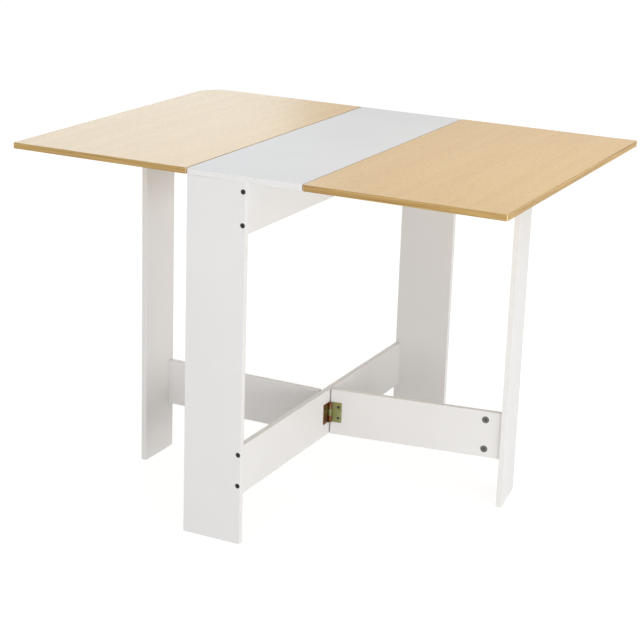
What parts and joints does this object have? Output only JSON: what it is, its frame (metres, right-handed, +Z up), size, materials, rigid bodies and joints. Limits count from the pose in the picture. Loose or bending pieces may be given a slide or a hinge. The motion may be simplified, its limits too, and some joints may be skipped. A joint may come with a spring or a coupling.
{
  "type": "butterfly folding table",
  "caption": "Butterfly folding table: a narrow centre frame with hinged drop leaves, held up by swinging gate legs on a low stretcher.",
  "frame": {"origin": "on the floor under the middle of the table", "axes": "+X along the leaves to the right leaf's end, +Y to the back, +Z up"},
  "size_m": [1.03, 0.76, 0.735],
  "materials": {
    "white_melamine": "satin melamine face",
    "beech_melamine": "satin melamine face with fine beech grain",
    "beech_edge_band": "satin edge band",
    "white_edge_band": "satin edge band",
    "yellow_zinc_steel": "yellow passivated zinc",
    "dark_screw_steel": "dark zinc",
    "bright_zinc": "die-cast zinc",
    "dowel_wood": "bare beech"
  },
  "bodies": {
    "frame": {"centre_top": "white_melamine", "centre_top_edge_band": "white_edge_band", "front_leg": "white_melamine", "rear_leg": "white_melamine", "front_leg_screws": "dark_screw_steel", "rear_leg_screws": "dark_screw_steel", "apron_rail": "white_melamine", "stretcher_rail": "white_melamine", "top_cams": "bright_zinc", "top_cam_bolts": "bright_zinc", "leg_dowels": "dowel_wood", "centre_top_hinge_screws": "dark_screw_steel", "stretcher_hinge_screws": "dark_screw_steel", "left_leaf_front_hinge_centre_plate": "yellow_zinc_steel", "left_leaf_back_hinge_centre_plate": "yellow_zinc_steel", "right_leaf_front_hinge_centre_plate": "yellow_zinc_steel", "right_leaf_back_hinge_centre_plate": "yellow_zinc_steel", "left_leaf_front_hinge_pin": "yellow_zinc_steel", "left_leaf_back_hinge_pin": "yellow_zinc_steel", "right_leaf_front_hinge_pin": "yellow_zinc_steel", "right_leaf_back_hinge_pin": "yellow_zinc_steel", "left_gate_hinge_fixed_plate": "yellow_zinc_steel", "right_gate_hinge_fixed_plate": "yellow_zinc_steel", "left_gate_hinge_pin": "yellow_zinc_steel", "right_gate_hinge_pin": "yellow_zinc_steel"},
    "left_drop_leaf": {"left_leaf": "beech_melamine", "left_leaf_edge_band": "beech_edge_band", "left_leaf_front_hinge_leaf_plate": "yellow_zinc_steel", "left_leaf_back_hinge_leaf_plate": "yellow_zinc_steel", "left_leaf_hinge_screws": "dark_screw_steel"},
    "right_drop_leaf": {"right_leaf": "beech_melamine", "right_leaf_edge_band": "beech_edge_band", "right_leaf_front_hinge_leaf_plate": "yellow_zinc_steel", "right_leaf_back_hinge_leaf_plate": "yellow_zinc_steel", "right_leaf_hinge_screws": "dark_screw_steel"},
    "left_gate": {"left_gate_rail": "white_melamine", "left_gate_leg": "white_melamine", "left_gate_cams": "bright_zinc", "left_gate_cam_bolts": "bright_zinc", "left_gate_dowel": "dowel_wood", "left_gate_hinge_moving_plate": "yellow_zinc_steel", "left_gate_hinge_screws": "dark_screw_steel"},
    "right_gate": {"right_gate_rail": "white_melamine", "right_gate_leg": "white_melamine", "right_gate_cams": "bright_zinc", "right_gate_cam_bolts": "bright_zinc", "right_gate_dowel": "dowel_wood", "right_gate_hinge_moving_plate": "yellow_zinc_steel", "right_gate_hinge_screws": "dark_screw_steel"}
  },
  "joints": [
    {"name": "left_leaf_lift", "type": "hinge", "parent": "frame", "child": "left_drop_leaf", "pos_m": [-0.121, 0, 0.7197], "axis": [0, 1, 0], "range_deg": [0, 5]},
    {"name": "right_leaf_lift", "type": "hinge", "parent": "frame", "child": "right_drop_leaf", "pos_m": [0.121, 0, 0.7197], "axis": [0, -1, 0], "range_deg": [0, 5]},
    {"name": "left_gate_swing", "type": "hinge", "parent": "frame", "child": "left_gate", "pos_m": [-0.0103, 0, 0.154], "axis": [0, 0, 1], "range_deg": [-90, 8]},
    {"name": "right_gate_swing", "type": "hinge", "parent": "frame", "child": "right_gate", "pos_m": [0.0103, 0, 0.154], "axis": [0, 0, 1], "range_deg": [-98, 0]}
  ]
}
